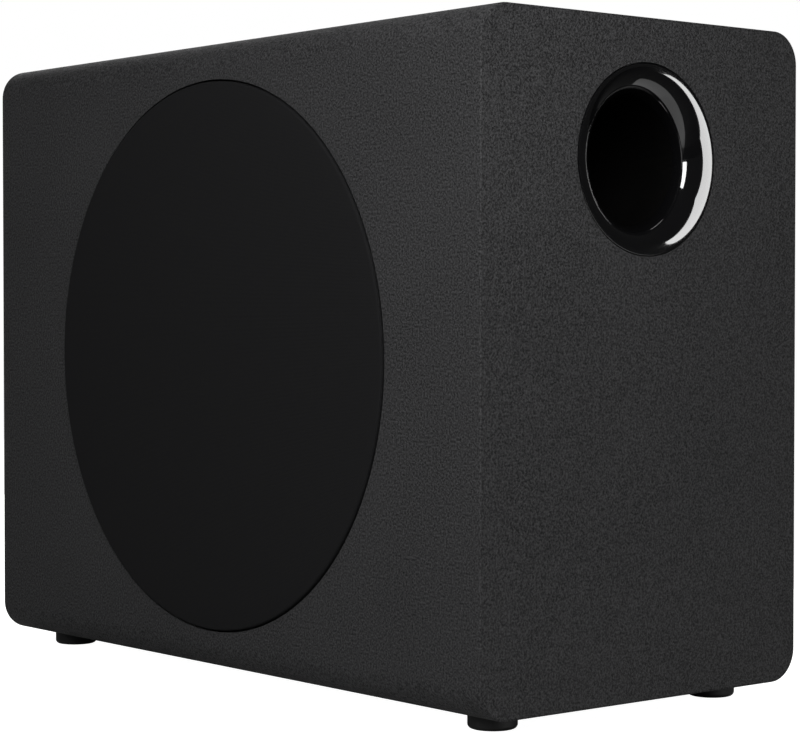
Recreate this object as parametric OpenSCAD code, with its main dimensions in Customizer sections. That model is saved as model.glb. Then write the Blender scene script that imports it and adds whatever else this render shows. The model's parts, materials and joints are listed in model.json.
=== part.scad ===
// Wireless subwoofer of a soundbar system: a wrapped fibreboard box with a round cloth
// grille on its long front, a flared port on one end and an amplifier on the other.
// +X points to the port end, -Y to the grille, +Z up. The origin is on the ground,
// under the middle of the cabinet.

/* [Cabinet] */
// Length of the cabinet, from the amplifier end to the port end
cabinet_l = 337; // [280:1:420]
// Depth of the cabinet, from the grille face to the back
cabinet_d = 170; // [150:1:240]
// Height of the cabinet without its feet
cabinet_h = 261; // [250:1:340]
// Radius of the four long edges
edge_r = 13; // [4:1:14]
// Thickness of the front baffle
baffle_t = 22; // [20:1:26]
// Thickness of the other five panels
panel_t = 15; // [15:1:18]
// Thickness of the vinyl wrap
vinyl_t = 0.4; // [0.2:0.1:0.8]

/* [Feet] */
// Diameter of a foot
foot_d = 19; // [14:1:26]
// Height of a foot
foot_h = 6.5; // [6:0.5:12]
// Distance from a foot's centre to the cabinet's end
foot_inset_x = 22; // [18:1:60]
// Distance from a foot's centre to the cabinet's front or back
foot_inset_y = 25.7; // [18:0.1:45]

/* [Grille] */
// Diameter of the round recess that holds the grille
recess_d = 228; // [222:1:240]
// Depth of the recess
recess_depth = 8; // [7:0.5:10]
// Gap all round between the cloth and the recess
grille_gap = 0.8; // [0.4:0.1:1.5]
// How far the cloth stands in front of the cabinet
grille_proud = 1; // [0.6:0.1:2]
// Thickness of the cloth
cloth_t = 0.5; // [0.3:0.1:0.8]
// Number of pegs that hold the grille
peg_count = 6; // [4:1:8]

/* [Driver] */
// Diameter of the basket's flange
flange_d = 208; // [170:1:210]
// Depth of the pocket for the flange, below the recess
pocket_depth = 5; // [4.5:0.5:6]
// Depth of the basket behind its flange
basket_depth = 45.5; // [45:0.5:56]
// Width of the surround's roll
roll_w = 13; // [10:0.5:14]
// Height of the surround's roll
roll_h = 5; // [3:0.5:5]
// Outer diameter of the magnet
magnet_d = 85; // [70:1:86]
// Thickness of the magnet
magnet_t = 16; // [12:1:24]
// Diameter of the voice coil's former
former_d = 38; // [32:1:40]
// Number of screws that hold the driver
driver_screw_count = 8; // [4:1:12]

/* [Port] */
// Inner diameter of the port
port_d = 50; // [44:1:60]
// Outer diameter of the flare at the cabinet's face
mouth_d = 73.2; // [68:0.2:80]
// Depth of the flare
flare_depth = 11.3; // [8:0.1:14]
// Length of the port from its mouth to its inner end
port_l = 150; // [90:1:155]
// Distance from the cabinet's top down to the port's axis
port_drop = 54; // [52:1:90]

/* [Amplifier] */
// Width of the amplifier plate
plate_w = 110; // [100:1:116]
// Height of the amplifier plate
plate_h = 190; // [180:1:200]
// How far the plate lies below the cabinet's end face
plate_sunk = 4; // [3:0.5:5]
// Thickness of the plate
plate_t = 2; // [1.5:0.5:3]

/* [Hidden] */
$fn = 96;
fit_gap = 0.05; // radial gap of a screw, peg or tube in its hole
mid_z = foot_h + cabinet_h / 2;
shell_l = cabinet_l - 2 * vinyl_t;
inside_l = shell_l - 2 * panel_t;
front_y = -cabinet_d / 2;
back_in_y = cabinet_d / 2 - vinyl_t - panel_t;
front_in_y = front_y + vinyl_t + baffle_t;
inside_h = cabinet_h - 2 * (vinyl_t + panel_t);
bottom_in_z = foot_h + vinyl_t + panel_t;

// Driver: heights along its axis count outwards from the seat of its flange
recess_r = recess_d / 2;
seat_depth = recess_depth + pocket_depth;
gasket_t = 1;
flange_t = 1.5;
flange_top = gasket_t + flange_t;
flange_r = flange_d / 2;
flange_w = 13;
throat_r = flange_r - flange_w;
pocket_r = flange_r + 0.6;
cutout_r = throat_r + 2.5;
sheet_t = 1.5; // thickness of the basket's steel
screw_circle_r = flange_r - 4.5;
skin_t = 0.7; // thickness of the surround
lip_w = 4.5;
roll_in_r = throat_r - roll_w;
roll_arc_r = ((roll_w / 2) ^ 2 + roll_h ^ 2) / (2 * roll_h);
paper_t = 0.8;
rim_w = 6;
cone_rim_r = roll_in_r - 0.4;
cone_top_r = cone_rim_r - rim_w;
former_r = former_d / 2;
former_t = 0.4;
neck_z = flange_top - 29.5;
cap_r = former_r + 9;
cap_rise = 9;
ledge_z = neck_z - 5; // top of the basket's ledge that holds the spider
ledge_in_r = 49;
ledge_out_r = 57;
spider_t = 0.5;
spider_wave = 1.3;
spider_waves = 6;
basket_floor_z = flange_top - basket_depth;
magnet_r = magnet_d / 2;
pole_gap = 0.6;
coil_t = 0.9;
coil_l = 14;
plate_steel_t = 6;
top_plate_z = basket_floor_z - sheet_t - plate_steel_t;
magnet_z = top_plate_z - magnet_t;
yoke_z = magnet_z - plate_steel_t;
terminal_r = 62;

// Grille: a ring of plastic with cloth over it, held by pegs in rubber sockets
cloth_r = recess_r - grille_gap;
ring_out_r = cloth_r - cloth_t;
ring_in_r = flange_r - 3;
ring_back = pocket_depth;
ring_front = seat_depth + grille_proud - cloth_t;
peg_r = 1.95;
peg_l = 8;
socket_r = 3.4;
socket_l = 8.5;
peg_circle_r = (pocket_r + recess_r) / 2 - 0.7;

// Port: depths count inwards from the cabinet's port face
port_z = foot_h + cabinet_h - port_drop;
port_r = port_d / 2;
tube_t = 2;
mouth_r = mouth_d / 2;
collar_t = 3;
collar_gap = 0.4;
barrel_r = port_r + 2 * tube_t + 1;
mouth_reach = mouth_r - 0.3 - port_r;
flare_r = (mouth_reach ^ 2 + flare_depth ^ 2) / (2 * mouth_reach);
socket_depth = 10; // how far the tube goes into the trim and the tail
tail_reach = 5;

// Amplifier: depths count inwards from the cabinet's amplifier face
gasket_foam_t = 0.8;
rebate_gap = 0.5;
rebate_depth = plate_sunk + plate_t + gasket_foam_t;
cutout_margin = 10; // width of the ledge that the plate sits on
plate_in = plate_sunk + plate_t;
plate_corner_r = 4;
plate_screw_r = 1.75;
plate_screw_inset = 5;
cutout_gap = 0.2; // round the inlet and the switch in the plate
inlet_x = -62;
inlet_body = [13, 22, 16];
inlet_pitch = 8.6; // between the two pins
inlet_well_r = 4.3;
inlet_well_depth = 12;
inlet_pin_r = 1.2;
switch_x = -34;
switch_body = [21, 15, 12];
rocker_half = 8;
rocker_w = 9;
pivot_r = 1;
pivot_depth = plate_sunk + 0.3;
rocker_tilt = 10;
wireless_x = 66;
button_y = 12;
lens_y = -12;
button_r = 3;
lens_r = 1.5;
tact_t = 3.2;
board_clear = 1.6; // from the panel's inner face to the boards
board_in = vinyl_t + panel_t + board_clear; // depth of the circuit boards' outer faces
board_t = 1.6;
board_x = 12;
board_h = 62;
board_w = 80;
parts_in = board_in + board_t;
radio_t = 1.2;

foot_bore_r = 2.2;
foot_screw_r = 1.75;

// Route of the speaker lead, from the amplifier board to the driver's terminals
lead_r = 1.8;
lead_points = [
    [-141.9, -34, 159], [-136, -34, 159], [-129, -34.4, 157.4], [-121, -35.2, 153.6],
    [-113, -36.4, 148.6], [-105, -38, 143.6], [-97, -39.6, 139.8], [-89, -40.8, 137.6],
    [-81, -41, 137], [-74, -41, 137]
];
// Routes of one tinsel lead, in the driver's frame, and one mains wire, in the amplifier's;
// their twins lie beside them
tinsel_r = 0.6;
tinsel_points = [
    [-63.5, 4.5, -29.6], [-63.5, 4.5, -27.6], [-62.4, 4.5, -25.6], [-60, 4.5, -24.2],
    [-56, 4.5, -23.2], [-51, 4.5, -22.6], [-46.5, 4.5, -21.6], [-43, 4.5, -19.8],
    [-40.9, 4.5, -17.9], [-39.9, 4.5, -16.1]
];
wire_r = 0.9;
wire_points = [
    [-62, 4.3, -28], [-62, 4.3, -30], [-61, 4.2, -32.9], [-58, 4, -35.1], [-53, 3.8, -36.3],
    [-46, 3.5, -36.7], [-38, 3.2, -36.7], [-30, 2.9, -36.5], [-23, 2.6, -35.9],
    [-17, 2.5, -33.9], [-14, 2.5, -30.7], [-14, 2.5, -28.5], [-14, 2.5, -26.6]
];

// A rectangle with rounded corners, centred
module rounded(w, h, r) {
    square([w - 2 * r, h], center = true);
    square([w, h - 2 * r], center = true);
    for (x = [-1, 1], y = [-1, 1])
        translate([x * (w / 2 - r), y * (h / 2 - r)]) circle(r);
}

// The cabinet's cross-section, brought in by an inset, with depth along x and height along y
module outline(inset) {
    rounded(cabinet_d - 2 * inset, cabinet_h - 2 * inset, edge_r - inset);
}

// Extrudes a cross-section of the cabinet from one x to another
module along_x(x0, x1) {
    translate([x0, 0, mid_z]) rotate([90, 0, 90]) linear_extrude(x1 - x0) children();
}

// Local z runs outwards along the driver's axis, from the seat of its flange
module on_driver() {
    translate([0, front_y + seat_depth, mid_z]) rotate([90, 0, 0]) children();
}

// Local z runs outwards along the port's axis, from the port face
module on_port() {
    translate([cabinet_l / 2, 0, port_z]) rotate([0, 90, 0]) children();
}

// Local z runs outwards from the amplifier face, local x up, local y to the back
module on_amp() {
    translate([-cabinet_l / 2, 0, mid_z]) rotate([0, -90, 0]) children();
}

module ring(r_out, r_in, z0, z1) {
    translate([0, 0, z0]) difference() {
        cylinder(h = z1 - z0, r = r_out);
        translate([0, 0, -1]) cylinder(h = z1 - z0 + 2, r = r_in);
    }
}

module disc(r, z0, z1) {
    translate([0, 0, z0]) cylinder(h = z1 - z0, r = r);
}

module around(count, r, first = 0) {
    for (i = [0 : count - 1])
        rotate([0, 0, first + i * 360 / count]) translate([r, 0, 0]) children();
}

module plate_screw_places() {
    px = plate_h / 2 - plate_screw_inset;
    py = plate_w / 2 - plate_screw_inset;
    for (x = [-1, -1 / 3, 1 / 3, 1], y = [-1, 1])
        translate([x * px, y * py, 0]) children();
}

module foot_places() {
    fx = cabinet_l / 2 - foot_inset_x;
    fy = cabinet_d / 2 - foot_inset_y;
    for (x = [-1, 1], y = [-1, 1])
        translate([x * fx, y * fy, 0]) children();
}

function unit(v) = v / norm(v);
function along(p, i) = unit(p[min(i + 1, len(p) - 1)] - p[max(i - 1, 0)]);
function side(t, up) = unit(cross(t, up));

// A round lead swept along its points; up is any direction that the route never takes
module swept(points, r, up = [0, 1, 0], sides = 8) {
    n = len(points);
    rings = [
        for (i = [0 : n - 1])
            let (t = along(points, i), u = side(t, up), v = cross(t, u))
                for (k = [0 : sides - 1])
                    points[i] + r * (cos(k * 360 / sides) * u + sin(k * 360 / sides) * v)
    ];
    walls = [
        for (i = [0 : n - 2], k = [0 : sides - 1])
            let (m = (k + 1) % sides)
                [i * sides + k, (i + 1) * sides + k, (i + 1) * sides + m, i * sides + m]
    ];
    start = [for (k = [0 : sides - 1]) k];
    end = [for (k = [sides - 1 : -1 : 0]) (n - 1) * sides + k];
    polyhedron(points = rings, faces = concat(walls, [start, end]), convexity = 6);
}

// ---- Cabinet

module front_baffle() {
    color("peru") difference() {
        along_x(-inside_l / 2, inside_l / 2) intersection() {
            outline(vinyl_t);
            translate([front_y + vinyl_t, -cabinet_h / 2]) square([baffle_t, cabinet_h]);
        }
        on_driver() {
            disc(recess_r, pocket_depth, seat_depth + 1);
            disc(pocket_r, 0, seat_depth);
            disc(cutout_r, -baffle_t, seat_depth);
            around(peg_count, peg_circle_r, 90)
                disc(socket_r + fit_gap, pocket_depth - socket_l, seat_depth);
            around(driver_screw_count, screw_circle_r, 22.5)
                disc(plate_screw_r + fit_gap, -8, seat_depth);
        }
    }
}

module back_panel() {
    color("peru") along_x(-inside_l / 2, inside_l / 2) intersection() {
        outline(vinyl_t);
        translate([back_in_y, -cabinet_h / 2]) square([panel_t, cabinet_h]);
    }
}

module flat_panel() {
    translate([-inside_l / 2, front_in_y, 0]) cube([inside_l, back_in_y - front_in_y, panel_t]);
}

module top_panel() {
    color("burlywood") translate([0, 0, bottom_in_z + inside_h]) flat_panel();
}

module bottom_panel() {
    color("burlywood") difference() {
        translate([0, 0, foot_h + vinyl_t]) flat_panel();
        foot_places() disc(foot_screw_r + fit_gap, 0, bottom_in_z - 3);
    }
}

module port_end_panel() {
    color("tan") difference() {
        along_x(inside_l / 2, shell_l / 2) outline(vinyl_t);
        on_port() {
            disc(mouth_r + collar_gap, -collar_t - 0.2, 1);
            disc(barrel_r + collar_gap, -panel_t - 2, 1);
        }
    }
}

module amp_end_panel() {
    color("tan") difference() {
        along_x(-shell_l / 2, -inside_l / 2) outline(vinyl_t);
        on_amp() {
            translate([0, 0, -rebate_depth]) linear_extrude(rebate_depth + 1)
                rounded(plate_h + 2 * rebate_gap, plate_w + 2 * rebate_gap, 4 + rebate_gap);
            translate([0, 0, -panel_t - 2]) linear_extrude(panel_t + 3)
                rounded(plate_h - 2 * cutout_margin, plate_w - 2 * cutout_margin, 4);
            plate_screw_places() disc(plate_screw_r + fit_gap, -plate_in - 8, 0);
        }
    }
}

// A batten glued into a long inside corner; turn picks the corner
module glue_block(y, z, turn) {
    size = 18;
    length = inside_l - 60;
    color("wheat") translate([-length / 2, y, z]) rotate([90, 0, 90]) rotate([0, 0, turn])
        linear_extrude(length) polygon([[0, 0], [size, 0], [size, 5], [5, size], [0, size]]);
}

module glue_block_top_front() {
    glue_block(front_in_y, bottom_in_z + inside_h, -90);
}

module glue_block_top_back() {
    glue_block(back_in_y, bottom_in_z + inside_h, 180);
}

module glue_block_low_front() {
    glue_block(front_in_y, bottom_in_z, 0);
}

module glue_block_low_back() {
    glue_block(back_in_y, bottom_in_z, 90);
}

module wrap_sleeve() {
    color("#34353a") difference() {
        along_x(-cabinet_l / 2, cabinet_l / 2) difference() {
            outline(0);
            outline(vinyl_t);
        }
        on_driver() disc(recess_r, seat_depth - 2, seat_depth + 2);
        foot_places() disc(foot_bore_r, 0, foot_h + 2);
    }
}

module port_end_skin() {
    color("#34353a") difference() {
        along_x(shell_l / 2, cabinet_l / 2) outline(vinyl_t);
        on_port() disc(mouth_r + collar_gap, -2, 2);
    }
}

module amp_end_skin() {
    color("#34353a") difference() {
        along_x(-cabinet_l / 2, -shell_l / 2) outline(vinyl_t);
        on_amp() translate([0, 0, -2]) linear_extrude(4)
            rounded(plate_h + 2 * rebate_gap, plate_w + 2 * rebate_gap, plate_corner_r + rebate_gap);
    }
}

module damping_pad() {
    pad_t = 18;
    amp_gap = 56;
    port_gap = 20;
    edge_gap = 25;
    color("whitesmoke")
        translate([amp_gap - inside_l / 2, back_in_y - pad_t, bottom_in_z + edge_gap])
            cube([inside_l - amp_gap - port_gap, pad_t, inside_h - 2 * edge_gap]);
}

// ---- Feet

module foot() {
    round_r = 1.75;
    well_r = 4.4;
    well_h = 3.2;
    color("#1b1b1c") difference() {
        rotate_extrude() {
            translate([0, round_r]) square([foot_d / 2, foot_h - round_r]);
            square([foot_d / 2 - round_r, foot_h]);
            translate([foot_d / 2 - round_r, round_r]) circle(round_r, $fn = 48);
        }
        disc(foot_bore_r, -1, foot_h + 1);
        disc(well_r, -1, well_h);
    }
}

module foot_port_front() {
    translate([cabinet_l / 2 - foot_inset_x, front_y + foot_inset_y, 0]) foot();
}

module foot_port_back() {
    translate([cabinet_l / 2 - foot_inset_x, -front_y - foot_inset_y, 0]) foot();
}

module foot_amp_front() {
    translate([-cabinet_l / 2 + foot_inset_x, front_y + foot_inset_y, 0]) foot();
}

module foot_amp_back() {
    translate([-cabinet_l / 2 + foot_inset_x, -front_y - foot_inset_y, 0]) foot();
}

module foot_screws() {
    color("dimgray") foot_places() {
        disc(foot_screw_r, 2, bottom_in_z - 4);
        difference() {
            disc(foot_bore_r + 1.8, 1.2, 3.2);
            cross_slot(1.2, 1);
        }
    }
}

// A cross drive sunk into a screw's head: z is the head's outer face, down goes into it
module cross_slot(z, down) {
    translate([-2, -0.4, z - 0.01]) cube([4, 0.8, down]);
    translate([-0.4, -2, z - 0.01]) cube([0.8, 4, down]);
}

// ---- Grille

module grille_sockets() {
    color("#202020") on_driver() around(peg_count, peg_circle_r, 90)
        ring(socket_r, peg_r + fit_gap, pocket_depth - socket_l, pocket_depth);
}

module grille_frame() {
    wall = 2;
    web = 2.5;
    color("#232324") on_driver() {
        ring(ring_out_r, ring_in_r, ring_front - web, ring_front);
        ring(ring_out_r, ring_out_r - wall, ring_back, ring_front - web);
        ring(ring_in_r + wall, ring_in_r, ring_back + 0.4, ring_front - web);
        around(2 * peg_count, ring_in_r + 1, 75) translate([0, -wall / 2, ring_back + 1])
            cube([ring_out_r - ring_in_r - 2, wall, ring_front - ring_back - 2]);
        around(peg_count, peg_circle_r, 90) {
            disc(peg_r, ring_back - peg_l + 1, ring_front - 1);
            translate([0, 0, ring_back - peg_l]) cylinder(h = 1, r1 = peg_r - 0.7, r2 = peg_r);
        }
    }
}

module grille_cloth() {
    round_r = 1;
    top = ring_front + cloth_t;
    color("#161617") on_driver() rotate_extrude() difference() {
        union() {
            translate([0, ring_back + 0.2]) square([cloth_r, top - round_r - ring_back - 0.2]);
            translate([0, ring_back + 0.2]) square([cloth_r - round_r, top - ring_back - 0.2]);
            translate([cloth_r - round_r, top - round_r]) circle(round_r, $fn = 48);
        }
        translate([0, ring_back - 1]) square([ring_out_r, ring_front - ring_back + 1]);
    }
}

// ---- Driver

module driver_gasket() {
    color("#222222") on_driver() difference() {
        ring(flange_r, cutout_r, 0, gasket_t);
        around(driver_screw_count, screw_circle_r, 22.5) disc(plate_screw_r + 0.3, -1, 2);
    }
}

module basket() {
    bottom = basket_floor_z - sheet_t;
    ledge_under = ledge_z - sheet_t;
    low_r = magnet_r + 2;
    bore_r = former_r + coil_t + 0.8;
    color("#2b2c2e") on_driver() difference() {
        union() {
            rotate_extrude() polygon([
                [flange_r, gasket_t], [flange_r, flange_top], [throat_r - 1.5, flange_top],
                [ledge_out_r - 2, ledge_z], [ledge_in_r, ledge_z], [ledge_in_r, ledge_under],
                [low_r - 2, basket_floor_z], [bore_r, basket_floor_z], [bore_r, bottom],
                [low_r, bottom], [ledge_in_r + 2, ledge_under], [ledge_out_r, ledge_under],
                [throat_r + 0.5, gasket_t]
            ]);
            translate([-terminal_r - 12, -8, ledge_under]) cube([18, 16, sheet_t]);
        }
        around(driver_screw_count, screw_circle_r, 22.5) disc(plate_screw_r + 0.3, 0, 4);
        around(6, ledge_in_r + 3) translate([0, -20, ledge_z + 4]) cube([50, 40, 20]);
        around(6, low_r - 6, 30) translate([0, -9, bottom + 4]) cube([20, 18, 5]);
    }
}

module driver_screws() {
    head_r = 3.2;
    head_t = 2;
    color("#303032") on_driver() around(driver_screw_count, screw_circle_r, 22.5) {
        disc(plate_screw_r, -7.5, flange_top);
        difference() {
            disc(head_r, flange_top, flange_top + head_t);
            cross_slot(flange_top + head_t - 1.2, 2);
        }
    }
}

module surround() {
    color("#18181a") on_driver() rotate_extrude() translate([0, flange_top]) {
        translate([throat_r - 0.3, 0]) square([lip_w + 0.3, skin_t]);
        translate([roll_in_r - rim_w, 0]) square([rim_w + 0.3, skin_t]);
        intersection() {
            translate([roll_in_r, 0]) square([roll_w, roll_h + 1]);
            translate([roll_in_r + roll_w / 2, roll_h - roll_arc_r]) difference() {
                circle(roll_arc_r);
                circle(roll_arc_r - skin_t);
            }
        }
    }
}

module edge_ring() {
    color("#151515") on_driver()
        ring(throat_r + lip_w, throat_r + 0.5, flange_top + skin_t, flange_top + skin_t + 1.3);
}

// Height of the cone's front surface at a radius
function cone_z(r) = neck_z + (r - former_r) * (flange_top - neck_z) / (cone_top_r - former_r);

module cone() {
    drop = paper_t * 1.15;
    color("#2a2a2b") on_driver() rotate_extrude() polygon([
        [former_r, neck_z], [cone_top_r, flange_top], [cone_rim_r, flange_top],
        [cone_rim_r, flange_top - paper_t], [cone_top_r, flange_top - paper_t],
        [former_r, neck_z - drop]
    ]);
}

module dust_cap() {
    dome_r = (cap_r ^ 2 + cap_rise ^ 2) / (2 * cap_rise);
    color("#1d1d1e") on_driver() rotate_extrude() translate([0, cone_z(cap_r)]) intersection() {
        square([cap_r, cap_rise + 1]);
        translate([0, cap_rise - dome_r]) difference() {
            circle(dome_r);
            circle(dome_r - paper_t);
        }
    }
}

module coil_former() {
    color("silver") on_driver()
        ring(former_r, former_r - former_t, top_plate_z - 5, neck_z + 2);
}

module voice_coil() {
    middle = top_plate_z + plate_steel_t / 2;
    color("chocolate") on_driver()
        ring(former_r + coil_t, former_r, middle - coil_l / 2, middle + coil_l / 2);
}

module spider() {
    last_r = ledge_in_r + 1;
    steps = 4 * spider_waves;
    first_r = former_r + fit_gap;
    radii = [for (i = [0 : steps]) first_r + i * (last_r - first_r) / steps];
    waves = [for (i = [0 : steps]) spider_wave * sin(i * 90)];
    upper = [for (i = [0 : steps]) [radii[i], waves[i] + spider_t]];
    lower = [for (i = [steps : -1 : 0]) [radii[i], waves[i]]];
    color("#c9a24b") on_driver() translate([0, 0, ledge_z]) {
        rotate_extrude() translate([0, spider_wave]) polygon(concat(upper, lower));
        ring(ledge_out_r - 2.5, last_r - 0.1, 0, spider_t + spider_wave);
    }
}

module top_plate() {
    color("lightgray") on_driver() ring(
        magnet_r - 1, former_r + coil_t + pole_gap, top_plate_z, top_plate_z + plate_steel_t);
}

module magnet() {
    color("#333336") on_driver() ring(magnet_r, former_r + coil_t + 4, magnet_z, top_plate_z);
}

module yoke() {
    color("lightgray") on_driver() {
        disc(magnet_r - 1, yoke_z, magnet_z);
        disc(former_r - former_t - pole_gap, magnet_z, top_plate_z + plate_steel_t);
    }
}

module terminal_strip() {
    strip_t = 1.6;
    color("saddlebrown") on_driver() translate([-terminal_r - 12, -7, ledge_z])
        cube([12, 14, strip_t]);
    color("gold") on_driver() for (y = [-1, 1])
        translate([-terminal_r - 12, y * 4.5 - 1.5, ledge_z + strip_t]) cube([12, 3, 0.8]);
}

module tinsel_leads() {
    color("goldenrod") on_driver() for (s = [-1, 1])
        swept([for (p = tinsel_points) [p[0], s * p[1], p[2]]], tinsel_r);
}

// ---- Port

// The flare's cross-section: a rolled lip that narrows to the port's bore
module flare_section() {
    intersection() {
        translate([port_r, -flare_depth]) square([mouth_r - port_r, flare_depth]);
        translate([port_r + flare_r, -flare_depth]) circle(flare_r);
    }
}

module port_trim() {
    lip_r = 0.6;
    color("#0b0b0c") on_port() rotate_extrude() difference() {
        union() {
            intersection() {
                flare_section();
                union() {
                    square([2 * (barrel_r + collar_t), 2 * collar_t], center = true);
                    translate([0, -flare_depth]) square([barrel_r, flare_depth]);
                }
            }
            translate([port_r + tube_t, -flare_depth - socket_depth])
                square([barrel_r - port_r - tube_t, socket_depth]);
        }
        translate([mouth_r - lip_r, -lip_r]) difference() {
            square(2 * lip_r);
            circle(lip_r, $fn = 48);
        }
    }
}

module port_tube() {
    color("#2a2a2a") on_port() ring(port_r + tube_t - fit_gap, port_r,
        -port_l + tail_reach, -flare_depth);
}

module port_tail() {
    wall_out_r = port_r + 2 * tube_t;
    color("#171717") on_port() rotate_extrude() {
        translate([port_r + tube_t, -port_l + tail_reach])
            square([tube_t, socket_depth]);
        intersection() {
            translate([port_r, -port_l]) square([wall_out_r - port_r + 1, tail_reach]);
            translate([port_r + tail_reach, -port_l + tail_reach]) circle(tail_reach);
        }
    }
}

// ---- Amplifier

module plate_outline() {
    rounded(plate_h, plate_w, plate_corner_r);
}

// A hole in the plate for a body of a given size
module plate_cutout(x, body) {
    translate([x, 0, -plate_in - 1]) linear_extrude(plate_t + 2)
        square([body[0] + 2 * cutout_gap, body[1] + 2 * cutout_gap], center = true);
}

module amp_plate() {
    color("#1e1f21") on_amp() difference() {
        translate([0, 0, -plate_in]) linear_extrude(plate_t) plate_outline();
        plate_screw_places() disc(plate_screw_r + 0.3, -plate_in - 1, 0);
        plate_cutout(inlet_x, inlet_body);
        plate_cutout(switch_x, switch_body);
        translate([wireless_x, button_y, 0]) disc(button_r + 0.3, -plate_in - 1, 0);
        translate([wireless_x, lens_y, 0]) disc(lens_r + fit_gap, -plate_in - 1, 0);
    }
}

module amp_gasket() {
    color("#3a3a3a") on_amp() difference() {
        translate([0, 0, -rebate_depth]) linear_extrude(gasket_foam_t) difference() {
            plate_outline();
            rounded(plate_h - 2 * cutout_margin, plate_w - 2 * cutout_margin, plate_corner_r);
        }
        plate_screw_places() disc(plate_screw_r + 0.3, -rebate_depth - 1, 0);
    }
}

module amp_screws() {
    head_r = 3.3;
    head_t = 2;
    grip = 7;
    slot_depth = 1.2;
    color("#303032") on_amp() plate_screw_places() {
        disc(plate_screw_r, -plate_in - grip, -plate_sunk);
        difference() {
            disc(head_r, -plate_sunk, -plate_sunk + head_t);
            cross_slot(-plate_sunk + head_t - slot_depth, 2);
        }
    }
}

module inlet_shell() {
    rim = [17, 27];
    rim_t = 1.6;
    rim_corner_r = 2;
    color("#141415") on_amp() translate([inlet_x, 0, -plate_sunk]) difference() {
        union() {
            linear_extrude(rim_t) rounded(rim[0], rim[1], rim_corner_r);
            translate([-inlet_body[0] / 2, -inlet_body[1] / 2, -inlet_body[2]]) cube(inlet_body);
        }
        translate([0, 0, rim_t - inlet_well_depth]) linear_extrude(inlet_well_depth + 1) {
            for (s = [-1, 1])
                translate([0, s * inlet_pitch / 2]) circle(inlet_well_r);
            square([2 * inlet_well_r - 2, inlet_pitch], center = true);
        }
        for (s = [-1, 1])
            translate([0, s * inlet_pitch / 2, 0]) disc(inlet_pin_r + fit_gap, -inlet_body[2] - 4, 0);
    }
}

module inlet_pins() {
    tail_l = 24;
    tip = 0.6;
    color("silver") on_amp() for (s = [-1, 1])
        translate([inlet_x, s * inlet_pitch / 2, -plate_sunk]) {
            disc(inlet_pin_r, -tail_l, -tip);
            translate([0, 0, -tip]) cylinder(h = tip, r1 = inlet_pin_r, r2 = inlet_pin_r - 0.5);
        }
}

module switch_shell() {
    bezel = [24, 18];
    bezel_t = 1.4;
    bezel_corner_r = 1.5;
    swing_depth = 6.6;
    half_l = rocker_half + 0.9;
    half_w = rocker_w / 2 + 0.4;
    color("#161617") on_amp() translate([switch_x, 0, 0]) difference() {
        union() {
            translate([0, 0, -plate_sunk]) linear_extrude(bezel_t)
                rounded(bezel[0], bezel[1], bezel_corner_r);
            translate([-switch_body[0] / 2, -switch_body[1] / 2, -plate_in - switch_body[2]])
                cube([switch_body[0], switch_body[1], plate_t + switch_body[2]]);
        }
        translate([-half_l, -half_w, -pivot_depth - swing_depth]) cube([2 * half_l, 2 * half_w, 16]);
        translate([0, 0, -pivot_depth]) rotate([90, 0, 0])
            cylinder(h = rocker_w + 3.4, r = pivot_r + fit_gap, center = true);
    }
}

module power_rocker() {
    crown = 2.4;
    dip = 1.6;
    shoulder = 1.5;
    keel = 4.6;
    keel_half = 3;
    pivot_l = rocker_w + 3;
    color("#0f0f10") on_amp() translate([switch_x, 0, -pivot_depth]) rotate([0, rocker_tilt, 0])
        rotate([90, 0, 0]) {
            linear_extrude(rocker_w, center = true) polygon([
                [-rocker_half, crown], [0, dip], [rocker_half, crown], [rocker_half, -shoulder],
                [keel_half, -keel], [-keel_half, -keel], [-rocker_half, -shoulder]
            ]);
            cylinder(h = pivot_l, r = pivot_r, center = true);
        }
}

module pair_button() {
    skirt_t = 1;
    press_gap = 1;
    skirt_z = -plate_in - 0.3;
    stem_r = 1.5;
    color("#26272a") on_amp() translate([wireless_x, button_y, 0]) {
        disc(button_r, skirt_z, -plate_sunk + 1);
        disc(button_r + 1.5, skirt_z - skirt_t, skirt_z);
        disc(stem_r, -board_in + tact_t + press_gap, skirt_z - skirt_t);
    }
}

module status_lens() {
    proud = 0.4;
    board_gap = 0.8;
    collar_r = 2.4;
    color("lightblue", 0.6) on_amp() translate([wireless_x, lens_y, 0]) {
        disc(lens_r, -board_in + board_gap, -plate_sunk + proud);
        disc(collar_r, -plate_in - 1, -plate_in);
    }
}

module standoffs() {
    post_r = 3;
    post_inset = 4;
    radio_post_r = 2.5;
    radio_post = [9, 15];
    color("gold") on_amp() {
        for (x = [-1, 1], y = [-1, 1])
            translate([board_x + x * (board_h / 2 - post_inset), y * (board_w / 2 - post_inset), 0])
                disc(post_r, -board_in, -plate_in);
        for (y = [-1, 1])
            translate([wireless_x + radio_post[0], y * radio_post[1], 0])
                disc(radio_post_r, -board_in, -plate_in);
    }
}

// A block on the inner face of the amplifier board, from one corner
module on_board(corner, size) {
    translate([corner[0], corner[1], -parts_in - size[2]]) cube(size);
}

module amp_board() {
    color("darkgreen") on_amp() translate([board_x - board_h / 2, -board_w / 2, -parts_in])
        cube([board_h, board_w, board_t]);
    color("ivory") on_amp() {
        on_board([18, -38], [8, 8, 8]);
        on_board([-18, -5], [8, 10, 8]);
    }
}

module transformer() {
    core = [26, 22, 7];
    winding = [18, 16, 20];
    core_lift = 7;
    margin = [(core[0] - winding[0]) / 2, (core[1] - winding[1]) / 2];
    color("#c8b450") on_amp() translate([-12, 16, 0]) {
        translate([0, 0, -parts_in - core_lift - core[2]]) cube(core);
        on_board(margin, winding);
    }
}

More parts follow.
